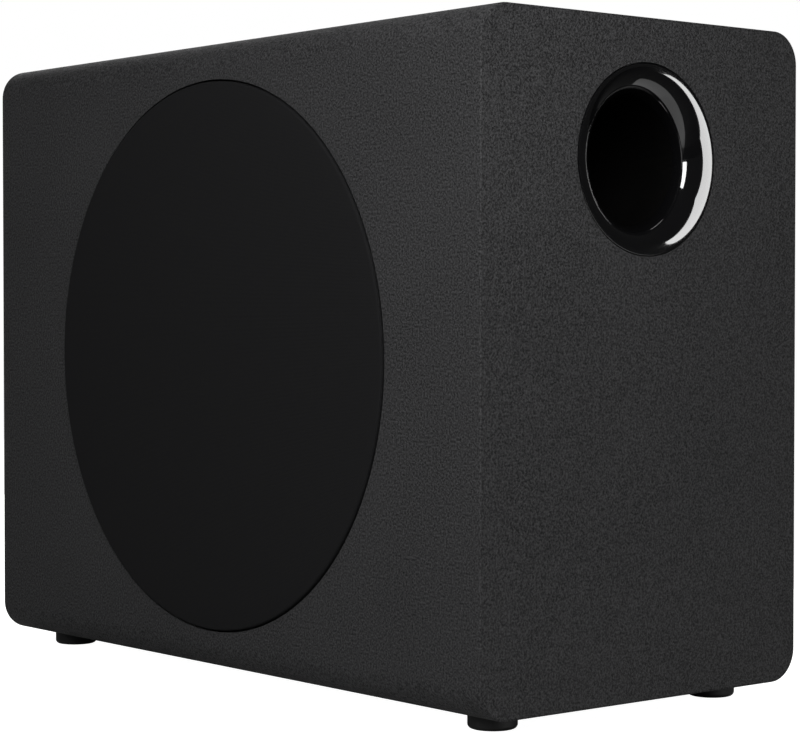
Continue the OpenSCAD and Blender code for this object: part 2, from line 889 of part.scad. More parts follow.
module capacitors() {
    can_r = 8;
    can_h = 25;
    vent = [12, 0.6, 0.5];
    color("#23305a") on_amp() for (x = [-10, 8])
        translate([x, -20, 0]) difference() {
            disc(can_r, -parts_in - can_h, -parts_in);
            translate([-vent[0] / 2, -vent[1] / 2, -parts_in - can_h - vent[2]])
                cube([vent[0], vent[1], 2 * vent[2]]);
        }
}

module output_coils() {
    outer_r = 6;
    inner_r = 2.5;
    core_h = 9;
    color("chocolate") on_amp() for (y = [-29, -14])
        translate([34, y, 0]) ring(outer_r, inner_r, -parts_in - core_h, -parts_in);
}

module heatsink() {
    base = [18, 3, 18];
    fin = [2, 10, 18];
    fin_pitch = 4;
    color("darkgray") on_amp() translate([22, 2, 0]) {
        on_board([0, 0], base);
        for (i = [0 : 4])
            on_board([i * fin_pitch, base[1] - 0.5], fin);
    }
}

module wireless_board() {
    radio = [28, 40];
    shield = [16, 18, 2.4];
    color("darkblue") on_amp() translate([wireless_x - radio[0] / 2, -radio[1] / 2, -board_in - radio_t])
        cube([radio[0], radio[1], radio_t]);
    color("silver") on_amp()
        translate([wireless_x - 10, -shield[1] / 2, -board_in - radio_t - shield[2]]) cube(shield);
}

module pair_switch() {
    side = 6;
    color("#444444") on_amp() translate([wireless_x - side / 2, button_y - side / 2, -board_in])
        cube([side, side, tact_t]);
}

module antenna() {
    whip_l = 26;
    whip_r = 1.5;
    color("#111111") on_amp() translate([wireless_x + 14, 0, -board_in - 1])
        rotate([0, 90, 0]) cylinder(h = whip_l, r = whip_r);
}

module speaker_lead() {
    color("#222222") swept(lead_points, lead_r);
}

module mains_wires() {
    color("#5a2a1a") on_amp() for (s = [-1, 1])
        swept([for (p = wire_points) [p[0], s * p[1], p[2]]], wire_r, [0, 0.2, -1]);
}

front_baffle();
back_panel();
top_panel();
bottom_panel();
port_end_panel();
amp_end_panel();
glue_block_top_front();
glue_block_top_back();
glue_block_low_front();
glue_block_low_back();
wrap_sleeve();
port_end_skin();
amp_end_skin();
damping_pad();
foot_port_front();
foot_port_back();
foot_amp_front();
foot_amp_back();
foot_screws();
grille_sockets();
grille_frame();
grille_cloth();
driver_gasket();
basket();
driver_screws();
surround();
edge_ring();
spider();
top_plate();
magnet();
yoke();
terminal_strip();
tinsel_leads();
cone();
dust_cap();
coil_former();
voice_coil();
port_trim();
port_tube();
port_tail();
amp_plate();
amp_gasket();
amp_screws();
inlet_shell();
inlet_pins();
switch_shell();
power_rocker();
pair_button();
status_lens();
standoffs();
amp_board();
transformer();
capacitors();
output_coils();
heatsink();
wireless_board();
pair_switch();
antenna();
speaker_lead();
mains_wires();
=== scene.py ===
import json
import math

import bmesh
import bpy
from mathutils import Matrix, Vector, noise

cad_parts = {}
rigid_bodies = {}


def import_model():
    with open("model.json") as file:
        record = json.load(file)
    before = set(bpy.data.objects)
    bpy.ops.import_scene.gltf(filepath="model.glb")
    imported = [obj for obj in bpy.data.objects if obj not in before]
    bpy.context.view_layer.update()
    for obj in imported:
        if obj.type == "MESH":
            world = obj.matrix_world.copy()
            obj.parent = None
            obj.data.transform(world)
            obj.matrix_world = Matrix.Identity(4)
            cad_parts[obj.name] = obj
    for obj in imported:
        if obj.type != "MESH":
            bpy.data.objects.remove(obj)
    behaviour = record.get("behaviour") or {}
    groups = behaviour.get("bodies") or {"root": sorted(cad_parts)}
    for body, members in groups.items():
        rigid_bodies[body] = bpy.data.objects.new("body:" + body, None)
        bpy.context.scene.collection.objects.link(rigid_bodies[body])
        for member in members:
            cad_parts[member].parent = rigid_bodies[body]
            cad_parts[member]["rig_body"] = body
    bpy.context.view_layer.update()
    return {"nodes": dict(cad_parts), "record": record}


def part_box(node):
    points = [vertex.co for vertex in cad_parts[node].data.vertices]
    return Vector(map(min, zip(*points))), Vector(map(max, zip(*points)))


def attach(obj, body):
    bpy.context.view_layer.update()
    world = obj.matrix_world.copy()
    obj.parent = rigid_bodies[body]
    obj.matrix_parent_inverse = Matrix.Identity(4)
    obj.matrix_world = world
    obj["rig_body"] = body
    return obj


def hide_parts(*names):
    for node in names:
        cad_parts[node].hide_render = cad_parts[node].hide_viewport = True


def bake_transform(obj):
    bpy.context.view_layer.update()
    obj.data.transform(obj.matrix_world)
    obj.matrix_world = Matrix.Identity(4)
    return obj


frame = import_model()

# ---- Sizes: pieces are modelled in millimetres in local frames, and placed in metres

MM = 0.001
SLEEVE_LOW, SLEEVE_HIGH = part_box("wrap_sleeve")
LENGTH = (SLEEVE_HIGH.x - SLEEVE_LOW.x) / MM
DEPTH = (SLEEVE_HIGH.y - SLEEVE_LOW.y) / MM
HEIGHT = (SLEEVE_HIGH.z - SLEEVE_LOW.z) / MM
FOOT_H = SLEEVE_LOW.z / MM
MID_Z = FOOT_H + HEIGHT / 2
SEAT_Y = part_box("driver_gasket")[1].y / MM
PORT_Z = (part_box("port_trim")[0].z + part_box("port_trim")[1].z) / 2 / MM
EDGE_R = 13
END_ROUND = 0.6
VINYL_T = 0.4
SEAM = 0.06
RECESS_R = 114
PORT_HOLE_R = 37
AMP_CUTOUT = (191, 111, 4.5)
BOARD_IN = 17
BOARD_T = 1.6
RADIO_T = 1.2

SCALE = Matrix.Scale(MM, 4)
UPRIGHT = SCALE
ON_DRIVER = SCALE @ Matrix.Translation((0, SEAT_Y, MID_Z)) @ Matrix.Rotation(math.pi / 2, 4, "X")
ON_PORT = SCALE @ Matrix.Translation((LENGTH / 2, 0, PORT_Z)) @ Matrix.Rotation(math.pi / 2, 4, "Y")
ON_PORT_END = SCALE @ Matrix.Translation((LENGTH / 2, 0, MID_Z)) @ Matrix.Rotation(math.pi / 2, 4, "Y")
ON_AMP = SCALE @ Matrix.Translation((-LENGTH / 2, 0, MID_Z)) @ Matrix.Rotation(-math.pi / 2, 4, "Y")

SLOTS = {row["node"]: row["material_slot"] for row in frame["record"]["subparts"]}


# ---- Shader maths

class Wire:
    """A socket in a node tree. Arithmetic on it adds Math nodes."""

    def __init__(self, tree, socket=None):
        self.tree = tree
        self.socket = socket

    def node(self, kind, settings=None, inputs=None, output=0):
        """Adds a node: its settings first, then its sockets' values or links."""
        made = self.tree.nodes.new(kind)
        for key, value in (settings or {}).items():
            setattr(made, key, value)
        for key, value in (inputs or {}).items():
            if isinstance(value, Wire):
                self.tree.links.new(value.socket, made.inputs[key])
            else:
                made.inputs[key].default_value = value
        return Wire(self.tree, made.outputs[output])

    def math(self, operation, *values):
        return self.node("ShaderNodeMath", {"operation": operation}, dict(enumerate(values)))

    def __add__(self, other):
        return self.math("ADD", self, other)

    __radd__ = __add__

    def __sub__(self, other):
        return self.math("SUBTRACT", self, other)

    def __rsub__(self, other):
        return self.math("SUBTRACT", other, self)

    def __mul__(self, other):
        return self.math("MULTIPLY", self, other)

    __rmul__ = __mul__

    def __truediv__(self, other):
        return self.math("DIVIDE", self, other)

    def __lt__(self, other):
        return self.math("LESS_THAN", self, other)

    def __gt__(self, other):
        return self.math("GREATER_THAN", self, other)


class Finish(Wire):
    """One material: a Principled shader, and helpers that read the piece's own coordinates."""

    def __init__(self, name, colour, roughness, **constants):
        self.material = bpy.data.materials.new(name)
        self.material.use_nodes = True
        super().__init__(self.material.node_tree)
        self.shader = self.tree.nodes["Principled BSDF"]
        self.shader.inputs["Base Color"].default_value = (*colour, 1)
        self.shader.inputs["Roughness"].default_value = roughness
        for key, value in constants.items():
            self.shader.inputs[key.replace("_", " ")].default_value = value
        self.place = self.node("ShaderNodeTexCoord", output=3)
        split = self.node("ShaderNodeSeparateXYZ", inputs={0: self.place})
        self.x, self.y, self.z = (
            Wire(self.tree, socket) for socket in split.socket.node.outputs)

    def feed(self, socket, value):
        self.tree.links.new(value.socket, self.shader.inputs[socket])

    def noise(self, size, detail=3, roughness=0.5, place=None):
        """Cloudy noise from 0 to 1, whose features are about a size in metres."""
        return self.node("ShaderNodeTexNoise", None, {
            "Vector": place or self.place, "Scale": 1 / size, "Detail": detail,
            "Roughness": roughness})

    def cells(self, size, feature="F1"):
        """Distance from the middle of the nearest cell."""
        return self.node("ShaderNodeTexVoronoi", {"feature": feature}, {
            "Vector": self.place, "Scale": 1 / size})

    def stretched(self, sx, sy, sz):
        return self.node("ShaderNodeVectorMath", {"operation": "MULTIPLY"}, {
            0: self.place, 1: (sx, sy, sz)})

    def blend(self, factor, low, high):
        """A colour between two, each a triple or a link."""
        ends = [c if isinstance(c, Wire) else (*c, 1) for c in (low, high)]
        return self.node(
            "ShaderNodeMix", {"data_type": "RGBA"}, {0: factor, 6: ends[0], 7: ends[1]}, output=2)

    def between(self, factor, low, high):
        return factor * (high - low) + low

    def length(self, first, second):
        """Distance from an axis, from the two coordinates measured off it."""
        return self.math("SQRT", first * first + second * second)

    def contrast(self, value, low, high):
        """Stretches a value from between two limits to run from 0 to 1."""
        return self.node("ShaderNodeMapRange", {"clamp": True}, {
            "Value": value, "From Min": low, "From Max": high})

    def bump(self, height, distance, strength):
        """Feeds a bump of a distance in metres to the shader."""
        self.feed("Normal", self.node("ShaderNodeBump", None, {
            "Height": height, "Distance": distance, "Strength": strength}))


# ---- Finishes

def vinyl_film():
    """Matte black vinyl with a fine pebbled grain."""
    f = Finish("vinyl_film", (0.015, 0.015, 0.0155), 0.86, IOR=1.45, Specular_IOR_Level=0.25)
    pebbles = f.contrast(f.noise(0.00085, 2, 0.6), 0.34, 0.66)
    pits = f.cells(0.0007, "SMOOTH_F1")
    broad = f.noise(0.06, 2)
    f.feed("Base Color", f.blend(
        pebbles * 0.85 + broad * 0.15, (0.002, 0.002, 0.0022), (0.032, 0.032, 0.033)))
    f.feed("Roughness", f.between(broad * 0.4 + pebbles * 0.6, 0.92, 0.78))
    f.bump(pebbles * 0.8 + pits * 0.5, 0.00022, 1.0)
    return f.material


def speaker_cloth():
    """Plain weave of fine black yarn."""
    pitch = 0.00052
    f = Finish("speaker_cloth", (0.006, 0.006, 0.0065), 0.9, Specular_IOR_Level=0.08)
    across = f.math("FRACT", f.x / pitch) - 0.5
    along = f.math("FRACT", f.z / pitch) - 0.5
    steps = f.math("FLOOR", f.x / pitch) + f.math("FLOOR", f.z / pitch)
    over = f.math("ABSOLUTE", f.math("MODULO", steps, 2))
    warp = 1 - across * across * 4
    weft = 1 - along * along * 4
    weave = over * warp + (1 - over) * weft
    fuzz = f.noise(0.0005, 2)
    f.feed("Base Color", f.blend(
        weave * 0.6 + fuzz * 0.5, (0.0015, 0.0015, 0.0016), (0.0082, 0.0082, 0.0086)))
    f.bump(weave + fuzz * 0.5, 0.00012, 0.6)
    return f.material


def gloss_moulding():
    """Polished black moulding with a faint ripple and no grain."""
    f = Finish("gloss_moulding", (0.002, 0.002, 0.0022), 0.07, IOR=1.6, Coat_Weight=1.0,
               Coat_Roughness=0.03)
    f.feed("Roughness", f.between(f.noise(0.009, 2), 0.05, 0.1))
    f.bump(f.noise(0.02, 1), 0.00006, 0.15)
    return f.material


def wound_card():
    """Black card tube with the faint butt lines of its spiral winding, coloured darker than real black
    card as painted shade for the dark inside of the port.
    """
    ply = 0.045
    f = Finish("wound_card", (0.002, 0.002, 0.002), 0.95, Specular_IOR_Level=0.0)
    turn = f.math("ARCTAN2", f.y, f.z - PORT_Z * MM) / (2 * math.pi)
    phase = f.math("FRACT", f.x / ply + turn)
    line = f.math("ABSOLUTE", phase - 0.5) < 0.008
    fibre = f.noise(0.0009, 4, 0.65, f.stretched(0.25, 1, 1))
    # Painted shade: the card's colour is set near zero so that the tube's inside reads as deep shadow;
    # the card itself is black
    f.feed("Base Color", f.blend(fibre, (0.001, 0.001, 0.001), (0.003, 0.0029, 0.0028)))
    f.bump(fibre * 0.4 - line * 0.6, 0.0001, 0.6)
    return f.material


def moulded_rubber():
    """Matte black rubber, bloomed a little lighter in places."""
    f = Finish("moulded_rubber", (0.009, 0.009, 0.009), 0.72, Specular_IOR_Level=0.35)
    bloom = f.noise(0.004, 3)
    speck = f.noise(0.0004, 2)
    f.feed("Base Color", f.blend(bloom, (0.0065, 0.0065, 0.0065), (0.014, 0.014, 0.0145)))
    f.feed("Roughness", f.between(bloom, 0.6, 0.82))
    f.bump(speck, 0.00006, 0.5)
    return f.material


def fibreboard():
    """Sanded fibreboard, sprayed black in the recess and the rebate, and coloured black in the port's
    hole as painted shade for the shadowed gap round the flare.
    """
    f = Finish("fibreboard", (0.42, 0.29, 0.17), 0.85)
    fibre = f.noise(0.0007, 5, 0.7)
    cloud = f.noise(0.018, 3)
    raw = f.blend(fibre * 0.6 + cloud * 0.4, (0.30, 0.20, 0.115), (0.52, 0.38, 0.235))
    # A ragged edge to the black, for both the sprayed black and the painted shade
    ragged_black_edge = fibre * 0.0035
    rebate = 6.2
    port_hole_depth = 6
    from_driver = f.length(f.x, f.z - MID_Z * MM)
    in_recess = (from_driver < ragged_black_edge + (RECESS_R + 0.2) * MM) * (f.y < (SEAT_Y + 0.5) * MM)
    in_rebate = f.x < ragged_black_edge + (rebate - LENGTH / 2) * MM
    from_port = f.length(f.y, f.z - PORT_Z * MM)
    near_port_end = f.x > (LENGTH / 2 - port_hole_depth) * MM
    # Painted shade: the board round the port's hole is raw, and is coloured black here to stand for
    # the shadow in the gap round the flare
    port_hole_painted_shade = (from_port < ragged_black_edge + (PORT_HOLE_R + 0.6) * MM) * near_port_end
    black_paint_and_painted_shade = f.math("MAXIMUM", f.math("MAXIMUM", in_recess, in_rebate), port_hole_painted_shade)
    # Black for the spray, and black as painted shade in the port's hole
    f.feed("Base Color", f.blend(black_paint_and_painted_shade, raw, (0.007, 0.007, 0.007)))
    f.feed("Roughness", f.between(black_paint_and_painted_shade, 0.9, 0.7))
    f.bump(fibre, 0.00015, 0.6)
    return f.material


def pine_batten():
    """Planed softwood with growth lines along its length."""
    f = Finish("pine_batten", (0.6, 0.44, 0.25), 0.65)
    drift = f.noise(0.03, 3, 0.5, f.stretched(0.08, 1, 1))
    rings = f.math("FRACT", (f.y + f.z * 0.7 + drift * 0.012) / 0.0032)
    late = f.math("POWER", rings, 3)
    pores = f.noise(0.0006, 3, 0.6, f.stretched(0.06, 1, 1))
    f.feed("Base Color", f.blend(late * 0.8 + pores * 0.2, (0.66, 0.50, 0.30), (0.42, 0.25, 0.11)))
    f.feed("Roughness", f.between(late, 0.7, 0.5))
    f.bump(pores - late * 0.4, 0.00012, 0.5)
    return f.material


def wadding():
    """White polyester wadding: tangled fibres."""
    f = Finish("wadding", (0.8, 0.8, 0.78), 0.95, Sheen_Weight=0.4, Sheen_Roughness=0.6)
    strands = f.noise(0.004, 6, 0.75, f.stretched(1, 0.6, 0.35))
    tufts = f.noise(0.012, 4, 0.6)
    f.feed("Base Color", f.blend(strands * 0.5 + tufts * 0.5, (0.60, 0.60, 0.58), (0.93, 0.93, 0.91)))
    f.bump(strands + tufts * 0.7, 0.0012, 0.8)
    return f.material


def coated_steel():
    """Pressed steel with a thin black coating, slightly orange-peeled."""
    f = Finish("coated_steel", (0.012, 0.012, 0.013), 0.42, IOR=1.5)
    peel = f.noise(0.0018, 3)
    dust = f.noise(0.02, 3)
    f.feed("Base Color", f.blend(dust, (0.009, 0.009, 0.010), (0.018, 0.018, 0.019)))
    f.feed("Roughness", f.between(peel, 0.34, 0.52))
    f.bump(peel, 0.00005, 0.5)
    return f.material


def textured_plastic(name="textured_plastic", level=0.012, roughness=0.55, size=0.0005):
    """Moulded plastic with a spark-eroded texture."""
    f = Finish(name, (level, level, level), roughness)
    spark = f.noise(size, 3, 0.6)
    flow = f.noise(0.015, 2)
    f.feed("Base Color", f.blend(flow, (level * 0.75,) * 3, (level * 1.25,) * 3))
    f.feed("Roughness", f.between(spark * 0.6 + flow * 0.4, roughness - 0.1, roughness + 0.1))
    f.bump(spark, 0.00005, 0.6)
    return f.material


def closed_foam():
    """Black closed-cell foam."""
    f = Finish("closed_foam", (0.014, 0.014, 0.014), 0.95, Specular_IOR_Level=0.15)
    cells = f.cells(0.0006)
    f.feed("Base Color", f.blend(cells * 1.2, (0.024, 0.024, 0.024), (0.006, 0.006, 0.006)))
    f.bump(1 - cells, 0.0002, 0.9)
    return f.material


def butyl_rubber():
    """Satin black rubber of the surround, with the mould's fine rings."""
    f = Finish("butyl_rubber", (0.011, 0.011, 0.0115), 0.45, Specular_IOR_Level=0.4)
    rings = f.math("SINE", f.length(f.x, f.z - MID_Z * MM) * (2 * math.pi / 0.0011))
    smear = f.noise(0.008, 3)
    f.feed("Base Color", f.blend(smear, (0.008, 0.008, 0.0085), (0.016, 0.016, 0.0165)))
    f.feed("Roughness", f.between(smear, 0.38, 0.56))
    f.bump(rings * 0.15 + smear * 0.4, 0.00004, 0.6)
    return f.material


def treated_cloth():
    """Amber resin-treated cloth of the spider, woven at about a millimetre."""
    pitch = 0.0009
    f = Finish("treated_cloth", (0.55, 0.36, 0.10), 0.6, Sheen_Weight=0.1)
    warp = f.math("SINE", f.x * (2 * math.pi / pitch))
    weft = f.math("SINE", f.z * (2 * math.pi / pitch))
    weave = warp * weft * 0.5 + 0.5
    stain = f.noise(0.006, 4)
    f.feed("Base Color", f.blend(
        weave * 0.5 + stain * 0.5, (0.33, 0.18, 0.035), (0.66, 0.46, 0.15)))
    f.bump(weave, 0.00018, 0.7)
    return f.material


def zinc_plate():
    """Turned and zinc-plated steel, with fine tool rings about the driver's axis."""
    f = Finish("zinc_plate", (0.62, 0.62, 0.60), 0.3, Metallic=1.0)
    tool = f.math("SINE", f.length(f.x, f.z - MID_Z * MM) * (2 * math.pi / 0.00055))
    cloud = f.noise(0.012, 4)
    f.feed("Base Color", f.blend(cloud, (0.50, 0.50, 0.48), (0.70, 0.70, 0.67)))
    f.feed("Roughness", f.between(cloud, 0.24, 0.42))
    f.bump(tool, 0.00002, 0.5)
    return f.material


def sintered_ferrite():
    """Ground ferrite, dark grey with small pits."""
    f = Finish("sintered_ferrite", (0.035, 0.035, 0.037), 0.5, IOR=1.9)
    pits = f.math("POWER", f.noise(0.0012, 4, 0.7), 3)
    cloud = f.noise(0.02, 3)
    f.feed("Base Color", f.blend(cloud * 0.6 + pits, (0.026, 0.026, 0.028), (0.055, 0.055, 0.058)))
    f.feed("Roughness", f.between(cloud, 0.4, 0.6))
    f.bump(pits, 0.0002, 0.5)
    return f.material


def phenolic_board():
    """Brown paper-phenolic strip."""
    f = Finish("phenolic_board", (0.22, 0.10, 0.035), 0.4)
    layers = f.noise(0.0012, 4, 0.6, f.stretched(0.3, 1, 1))
    f.feed("Base Color", f.blend(layers, (0.16, 0.068, 0.022), (0.29, 0.14, 0.055)))
    f.bump(layers, 0.00006, 0.4)
    return f.material


def tinned_metal(name="tinned_metal", colour=(0.72, 0.72, 0.70)):
    """Bright tinned or plated metal, faintly uneven."""
    f = Finish(name, colour, 0.25, Metallic=1.0)
    flow = f.noise(0.0025, 3)
    f.feed("Base Color", f.blend(flow, tuple(0.85 * c for c in colour), colour))
    f.feed("Roughness", f.between(flow, 0.18, 0.38))
    f.bump(flow, 0.00005, 0.3)
    return f.material


def enamelled_copper():
    """Copper wire under clear enamel."""
    f = Finish("enamelled_copper", (0.62, 0.25, 0.10), 0.28, Metallic=0.9, Coat_Weight=0.5,
               Coat_Roughness=0.12)
    tint = f.noise(0.002, 3)
    f.feed("Base Color", f.blend(tint, (0.48, 0.16, 0.055), (0.74, 0.33, 0.14)))
    f.feed("Roughness", f.between(tint, 0.22, 0.4))
    f.bump(tint, 0.00003, 0.4)
    return f.material


def copper_braid():
    """Braided tinsel wire."""
    f = Finish("copper_braid", (0.66, 0.33, 0.15), 0.4, Metallic=0.85)
    strands = f.math("SINE", (f.x * 1.4 + f.y + f.z) * (2 * math.pi / 0.0006))
    cross = f.math("SINE", (f.x * 1.4 - f.y - f.z) * (2 * math.pi / 0.0006))
    f.feed("Base Color", f.blend(strands * 0.25 + 0.5, (0.42, 0.17, 0.06), (0.80, 0.44, 0.22)))
    f.bump(f.math("MAXIMUM", strands, cross), 0.00012, 0.8)
    return f.material


def pressed_paper():
    """Black pressed pulp with long fibres."""
    f = Finish("pressed_paper", (0.018, 0.018, 0.0185), 0.8, Specular_IOR_Level=0.3)
    fibres = f.noise(0.0022, 6, 0.72, f.stretched(1, 0.5, 0.6))
    speck = f.noise(0.0004, 3)
    f.feed("Base Color", f.blend(
        fibres * 0.7 + speck * 0.3, (0.009, 0.009, 0.0095), (0.032, 0.032, 0.033)))
    f.feed("Roughness", f.between(fibres, 0.7, 0.9))
    f.bump(fibres * 0.7 + speck * 0.5, 0.00022, 0.7)
    return f.material


def foil_former():
    """Thin aluminium foil rolled into a tube."""
    f = Finish("foil_former", (0.72, 0.72, 0.72), 0.3, Metallic=1.0)
    rolled = f.noise(0.002, 3, 0.5, f.stretched(1, 0.1, 1))
    f.feed("Roughness", f.between(rolled, 0.22, 0.42))
    f.feed("Base Color", f.blend(rolled, (0.62, 0.62, 0.62), (0.80, 0.80, 0.80)))
    f.bump(rolled, 0.00004, 0.4)
    return f.material


def powder_coat():
    """Fine-textured black powder coat on the amplifier's steel plate."""
    f = Finish("powder_coat", (0.014, 0.014, 0.015), 0.6)
    texture = f.noise(0.0008, 3, 0.6)
    sparkle = f.cells(0.0005, "SMOOTH_F1")
    f.feed("Base Color", f.blend(texture, (0.010, 0.010, 0.011), (0.022, 0.022, 0.023)))
    f.feed("Roughness", f.between(sparkle, 0.5, 0.72))
    f.bump(texture + sparkle * 0.5, 0.00012, 0.8)
    return f.material


def clear_plastic():
    """Clear light pipe, dark while it is off."""
    f = Finish("clear_plastic", (0.75, 0.82, 0.88), 0.12, IOR=1.49, Transmission_Weight=0.85)
    haze = f.noise(0.0015, 2)
    f.feed("Roughness", f.between(haze, 0.06, 0.2))
    f.bump(haze, 0.00003, 0.3)
    return f.material


def turned_brass():
    """Brass turned on a lathe along X."""
    f = Finish("turned_brass", (0.72, 0.50, 0.20), 0.3, Metallic=1.0)
    tool = f.math("SINE", f.x * (2 * math.pi / 0.0004))
    patina = f.noise(0.003, 3)
    f.feed("Base Color", f.blend(patina, (0.55, 0.36, 0.13), (0.80, 0.58, 0.26)))
    f.feed("Roughness", f.between(patina, 0.25, 0.42))
    f.bump(tool, 0.00003, 0.4)
    return f.material


def solder_mask():
    """Green board with a pattern of tracks under its lacquer."""
    f = Finish("solder_mask", (0.01, 0.09, 0.035), 0.35, Coat_Weight=0.3, Coat_Roughness=0.15)
    block = f.node("ShaderNodeTexVoronoi", {"distance": "MANHATTAN"}, {
        "Vector": f.place, "Scale": 1 / 0.011})
    tracks = f.math("FRACT", block * 5.5) < 0.32
    lacquer = f.noise(0.01, 3)
    f.feed("Base Color", f.blend(tracks, (0.006, 0.065, 0.026), (0.025, 0.15, 0.060)))
    f.feed("Roughness", f.between(lacquer, 0.28, 0.45))
    f.bump(tracks, 0.00005, 0.6)
    return f.material


def polyester_tape():
    """Yellow tape wound round the transformer in overlapping layers."""
    f = Finish("polyester_tape", (0.68, 0.50, 0.06), 0.3, Coat_Weight=0.4)
    wraps = f.math("FRACT", f.x / 0.0031)
    ridge = wraps > 0.93
    smear = f.noise(0.004, 3)
    f.feed("Base Color", f.blend(ridge * 0.6 + smear * 0.3, (0.72, 0.54, 0.07), (0.44, 0.29, 0.025)))
    f.feed("Roughness", f.between(smear, 0.22, 0.4))
    f.bump(wraps, 0.00012, 0.6)
    return f.material


def shrink_sleeve():
    """Dark blue shrink sleeve with a pale stripe down one side."""
    f = Finish("shrink_sleeve", (0.015, 0.02, 0.075), 0.28)
    stripe_from, stripe_to, sleeve_from = -0.0245, -0.0205, -0.170
    stripe = (f.y > stripe_from) * (f.y < stripe_to) * (f.x > sleeve_from)
    crinkle = f.noise(0.003, 3, 0.5, f.stretched(3, 1, 1))
    f.feed("Base Color", f.blend(stripe, (0.013, 0.018, 0.07), (0.42, 0.44, 0.48)))
    f.feed("Roughness", f.between(crinkle, 0.22, 0.38))
    f.bump(crinkle, 0.00008, 0.4)
    return f.material


def extruded_aluminium():
    """Bare aluminium with drawing lines along its extrusion."""
    f = Finish("extruded_aluminium", (0.72, 0.72, 0.73), 0.38, Metallic=1.0)
    lines = f.noise(0.0006, 4, 0.6, f.stretched(0.04, 1, 1))
    f.feed("Base Color", f.blend(lines, (0.58, 0.58, 0.59), (0.78, 0.78, 0.79)))
    f.feed("Roughness", f.between(lines, 0.3, 0.5))
    f.bump(lines, 0.00006, 0.5)
    return f.material


def flexible_sheath():
    """Soft black insulation with a faint extruded line."""
    f = Finish("flexible_sheath", (0.014, 0.014, 0.014), 0.5)
    scuff = f.noise(0.004, 4)
    f.feed("Base Color", f.blend(scuff, (0.010, 0.010, 0.010), (0.022, 0.022, 0.022)))
    f.feed("Roughness", f.between(scuff, 0.4, 0.6))
    f.bump(scuff, 0.00006, 0.4)
    return f.material


FINISHES = {
    "fibreboard": fibreboard(), "softwood": pine_batten(), "vinyl_wrap": vinyl_film(),
    "wadding": wadding(), "foot_rubber": moulded_rubber(), "black_steel": coated_steel(),
    "black_plastic": textured_plastic(), "grille_fabric": speaker_cloth(),
    "black_foam": closed_foam(), "surround_rubber": butyl_rubber(),
    "spider_cloth": treated_cloth(), "plated_steel": zinc_plate(), "ferrite": sintered_ferrite(),
    "fibre_strip": phenolic_board(), "copper": enamelled_copper(), "cone_paper": pressed_paper(),
    "former_metal": foil_former(), "port_gloss": gloss_moulding(), "tube_card": wound_card(),
    "plate_paint": powder_coat(), "nickel": tinned_metal("nickel_plate", (0.70, 0.67, 0.60)),
    "rocker_gloss": textured_plastic("satin_cap", 0.008, 0.32, 0.0008),
    "clear_lens": clear_plastic(), "brass_post": turned_brass(), "board_green": solder_mask(),
    "core_tape": polyester_tape(), "capacitor_sleeve": shrink_sleeve(),
    "bare_aluminium": extruded_aluminium(), "lead_sheath": flexible_sheath(),
}
TINNED = tinned_metal()
BRAID = copper_braid()
IVORY = textured_plastic("ivory_nylon", 0.62, 0.45, 0.0006)


# ---- Mesh tools: each works on a bmesh in millimetres

def arc(x, y, radius, start, stop, steps):
    """Points of a round stretch of an outline, from one angle in degrees to another."""
    angles = (math.radians(start + (stop - start) * i / steps) for i in range(steps + 1))
    return [(x + radius * math.cos(a), y + radius * math.sin(a)) for a in angles]


def mesh_of(bm, name):
    """Turns a bmesh into a mesh, and frees it."""
    mesh = bpy.data.meshes.new(name)
    bm.to_mesh(mesh)
    bm.free()
    return mesh


def added(name, data):
    """Makes an object and links it to the scene."""
    made = bpy.data.objects.new(name, data)
    bpy.context.scene.collection.objects.link(made)
    return made


def even_shading(made):
    """Weights the normals by the faces' areas, and keeps sharp edges sharp."""
    shading = made.modifiers.new("even_shading", "WEIGHTED_NORMAL")
    shading.keep_sharp = True


def outline_edges(bm, points):
    """Adds an outline's edges in the XZ plane. A point's third number rounds that corner."""
    verts = [bm.verts.new((p[0], 0, p[1])) for p in points]
    face = bm.faces.new(verts)
    for vert, point in zip(verts, points):
        if len(point) > 2:
            bmesh.ops.bevel(bm, geom=[vert], affect="VERTICES", offset=point[2], segments=4,
                            profile=0.5, material=-1)
    bmesh.ops.delete(bm, geom=bm.faces[:], context="FACES_ONLY")
    on_axis = [e for e in bm.edges if all(abs(v.co.x) < 1e-6 for v in e.verts)]
    bmesh.ops.delete(bm, geom=on_axis, context="EDGES_FACES")


def turned(points, steps, sweep=360, start=0):
    """Spins an outline of (radius, height) about Z: a full turn, or a sector with closed ends."""
    bm = bmesh.new()
    outline_edges(bm, points)
    whole = sweep >= 360
    bmesh.ops.rotate(bm, verts=bm.verts, matrix=Matrix.Rotation(math.radians(start), 3, "Z"))
    bmesh.ops.spin(bm, geom=bm.verts[:] + bm.edges[:], cent=(0, 0, 0), axis=(0, 0, 1),
                   angle=math.radians(sweep), steps=steps, use_merge=whole)
    bmesh.ops.remove_doubles(bm, verts=bm.verts, dist=0.001)
    if not whole:
        bmesh.ops.holes_fill(bm, edges=[e for e in bm.edges if e.is_boundary])
    bmesh.ops.recalc_face_normals(bm, faces=bm.faces)
    return bm


def soften(bm, width, segments=2):
    """Rounds every edge that turns by more than 32 degrees."""
    sharp = [e for e in bm.edges
             if len(e.link_faces) == 2 and e.calc_face_angle() > math.radians(32)]
    bmesh.ops.bevel(bm, geom=sharp, offset=width, segments=segments, profile=0.5,
                    affect="EDGES", clamp_overlap=True, material=-1)
    return bm


def from_cad(node, width, segments=2):
    """A merged copy of a node's mesh in millimetres, with its edges rounded."""
    bm = bmesh.new()
    bm.from_mesh(frame["nodes"][node].data)
    bm.transform(SCALE.inverted())
    bmesh.ops.remove_doubles(bm, verts=bm.verts, dist=0.002)
    bmesh.ops.dissolve_limit(bm, angle_limit=math.radians(0.6), verts=bm.verts, edges=bm.edges)
    return soften(bm, width, segments)


